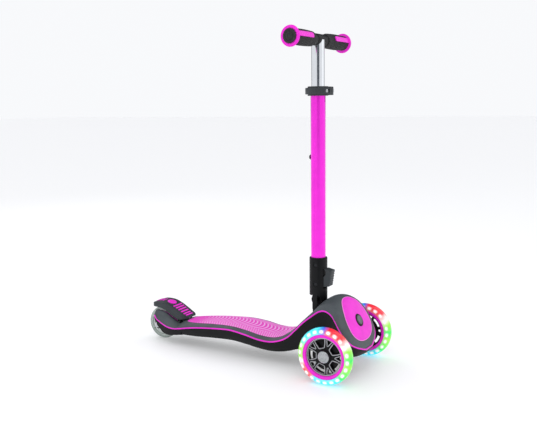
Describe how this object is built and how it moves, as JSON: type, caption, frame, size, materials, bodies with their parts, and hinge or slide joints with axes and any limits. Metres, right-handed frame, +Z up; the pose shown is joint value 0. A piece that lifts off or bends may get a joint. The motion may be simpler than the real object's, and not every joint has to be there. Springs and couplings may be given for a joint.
{
  "type": "kick scooter",
  "caption": "Three-wheeled lean-to-steer kick scooter for a small child, with folding stem, telescopic T-bar, foot brake and light-up front wheels.",
  "frame": {"origin": "on the floor, midway along the scooter and between its wheels", "axes": "+Z up, -Y is the front (the way it rides), +X is the rider's left"},
  "size_m": [0.2524, 0.5932, 0.7216],
  "materials": {
    "black_plastic": "fine matt texture",
    "slate_grey_plastic": "satin moulded",
    "pink_plastic": "satin moulded",
    "magenta_anodised": "bright anodised",
    "chrome": "polished",
    "zinc_steel": "zinc plated",
    "black_rubber": "matt ribbed",
    "light_up_tyre": "clear polyurethane",
    "clear_grey_tyre": "clear grey polyurethane",
    "silver_plastic": "metallised",
    "white_core": "moulded"
  },
  "bodies": {
    "deck": {"deck_chassis": "black_plastic", "deck_frame": "slate_grey_plastic", "deck_trim": "pink_plastic", "tread_mat": "pink_plastic", "badge_panel": "pink_plastic", "button_bezel": "black_plastic", "lock_spring": "zinc_steel", "steering_beam": "zinc_steel", "kingpin_left": "zinc_steel", "kingpin_right": "zinc_steel", "bottom_cover": "black_plastic", "cover_screw_front": "zinc_steel", "cover_screw_rear": "zinc_steel", "rear_axle_bolt": "zinc_steel", "rear_axle_nut": "zinc_steel", "brake_pin": "zinc_steel", "brake_spring": "zinc_steel", "fold_bracket": "zinc_steel", "fold_pin": "zinc_steel"},
    "rear_wheel": {"rear_tyre": "clear_grey_tyre", "rear_core": "white_core", "rear_bearing": "zinc_steel"},
    "brake": {"brake_lever": "slate_grey_plastic", "brake_insert": "pink_plastic"},
    "left_knuckle": {"knuckle_left": "black_plastic", "axle_bolt_left": "zinc_steel"},
    "right_knuckle": {"knuckle_right": "black_plastic", "axle_bolt_right": "zinc_steel"},
    "tie_rod": {"tie_rod": "zinc_steel"},
    "lock_button": {"lock_button": "slate_grey_plastic"},
    "stem": {"stem_housing": "black_plastic", "stem_tube": "magenta_anodised", "clamp_bolt": "zinc_steel", "lever_pin": "zinc_steel", "tube_collar": "slate_grey_plastic", "collar_bolt": "zinc_steel", "collar_nut": "chrome"},
    "fold_lever": {"fold_lever": "slate_grey_plastic"},
    "quick_release": {"quick_release_lever": "slate_grey_plastic"},
    "height_pin": {"height_pin": "black_plastic"},
    "t_bar": {"inner_tube": "chrome", "crossbar": "black_plastic", "grip_left": "black_rubber", "grip_right": "black_rubber", "grip_flange_left": "pink_plastic", "grip_flange_right": "pink_plastic", "end_cap_left": "black_rubber", "end_cap_right": "black_rubber"},
    "left_wheel": {"front_tyre_left": "light_up_tyre", "rim_band_left": "pink_plastic", "spoked_hub_left": "black_plastic", "inner_bearing_left": "zinc_steel", "outer_bearing_left": "zinc_steel", "hub_cap_left": "silver_plastic"},
    "right_wheel": {"front_tyre_right": "light_up_tyre", "rim_band_right": "pink_plastic", "spoked_hub_right": "black_plastic", "inner_bearing_right": "zinc_steel", "outer_bearing_right": "zinc_steel", "hub_cap_right": "silver_plastic"}
  },
  "joints": [
    {"name": "left_steer", "type": "hinge", "parent": "deck", "child": "left_knuckle", "pos_m": [0.08, -0.23605, 0.0605], "axis": [0, 0, 1], "range_deg": [-14, 14], "stiffness_Nm_per_rad": 2},
    {"name": "right_steer", "type": "hinge", "parent": "deck", "child": "right_knuckle", "pos_m": [-0.08, -0.23605, 0.0605], "axis": [0, 0, 1], "range_deg": [-14, 14], "stiffness_Nm_per_rad": 2},
    {"name": "tie_rod_pivot", "type": "hinge", "parent": "right_knuckle", "child": "tie_rod", "pos_m": [-0.08, -0.20605, 0.0515], "axis": [0, 0, 1], "range_deg": [-14, 14]},
    {"name": "left_wheel_spin", "type": "hinge", "parent": "left_knuckle", "child": "left_wheel", "pos_m": [0.1068, -0.23605, 0.0605], "axis": [1, 0, 0], "continuous": true},
    {"name": "right_wheel_spin", "type": "hinge", "parent": "right_knuckle", "child": "right_wheel", "pos_m": [-0.1068, -0.23605, 0.0605], "axis": [1, 0, 0], "continuous": true},
    {"name": "rear_wheel_spin", "type": "hinge", "parent": "deck", "child": "rear_wheel", "pos_m": [0, 0.25655, 0.04], "axis": [1, 0, 0], "continuous": true},
    {"name": "brake_press", "type": "hinge", "parent": "deck", "child": "brake", "pos_m": [0, 0.19255, 0.055], "axis": [-1, 0, 0], "range_deg": [0, 2.4], "stiffness_Nm_per_rad": 12},
    {"name": "lock_press", "type": "slide", "parent": "deck", "child": "lock_button", "axis": [0, 0.8872, -0.4614], "range_m": [0, 0.004], "stiffness_N_per_m": 400},
    {"name": "stem_fold", "type": "hinge", "parent": "deck", "child": "stem", "pos_m": [0, -0.16805, 0.148], "axis": [-1, 0, 0], "range_deg": [0, 90]},
    {"name": "release_squeeze", "type": "hinge", "parent": "stem", "child": "fold_lever", "pos_m": [0, -0.17005, 0.1847], "axis": [-1, 0, 0], "range_deg": [0, 4], "stiffness_Nm_per_rad": 0.6},
    {"name": "quick_release_swing", "type": "hinge", "parent": "stem", "child": "quick_release", "pos_m": [-0.0151, -0.19465, 0.5955], "axis": [0, 0, 1], "range_deg": [0, 115]},
    {"name": "height_pin_pull", "type": "slide", "parent": "stem", "child": "height_pin", "axis": [0, 1, 0], "range_m": [0, 0.003], "stiffness_N_per_m": 500},
    {"name": "height_slide", "type": "slide", "parent": "stem", "child": "t_bar", "axis": [0, 0, 1], "range_m": [-0.05, 0.1]}
  ],
  "couplings": [
    {"joint": "right_steer", "follows": "left_steer", "ratio": 1},
    {"joint": "tie_rod_pivot", "follows": "left_steer", "ratio": -1}
  ]
}
